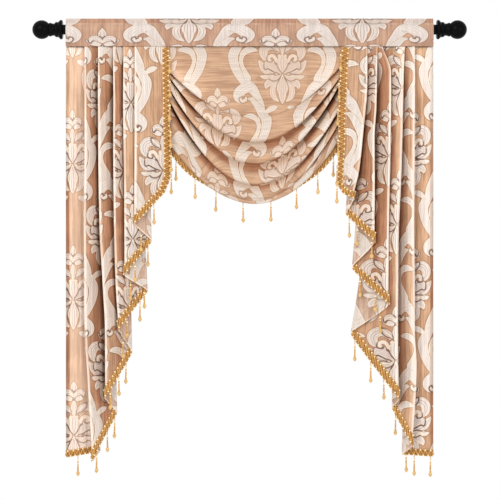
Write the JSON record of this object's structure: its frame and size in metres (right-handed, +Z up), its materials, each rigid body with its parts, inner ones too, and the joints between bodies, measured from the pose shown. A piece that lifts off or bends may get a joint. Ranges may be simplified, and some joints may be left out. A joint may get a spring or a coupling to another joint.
{
  "type": "swag and tail drape on a curtain rod",
  "caption": "Curtain valance of a draped swag between two long pleated tails, edged with tasselled braid, hanging from a rod with ball finials.",
  "frame": {"origin": "on the rod's axis, halfway along it", "axes": "+X to the right seen from the room, +Z up, the room on the -Y side"},
  "size_m": [1.7756, 0.091, 1.8693],
  "materials": {
    "rod": "gloss black",
    "finial_left": "gloss black",
    "finial_right": "gloss black",
    "heading": "damask weave, silky, ivory scrolls on tan",
    "swag": "damask weave, silky, ivory scrolls on tan",
    "tail_left": "damask weave, silky, ivory scrolls on tan",
    "tail_right": "damask weave, silky, ivory scrolls on tan",
    "braid_swag": "gold braid with beaded tassels",
    "braid_tail_left": "gold braid with beaded tassels",
    "braid_tail_right": "gold braid with beaded tassels"
  },
  "bodies": {
    "root": {"rod": "rod", "finial_left": "finial_left", "finial_right": "finial_right", "heading": "heading", "swag": "swag", "tail_left": "tail_left", "tail_right": "tail_right", "braid_swag": "braid_swag", "braid_tail_left": "braid_tail_left", "braid_tail_right": "braid_tail_right"}
  },
  "joints": []
}
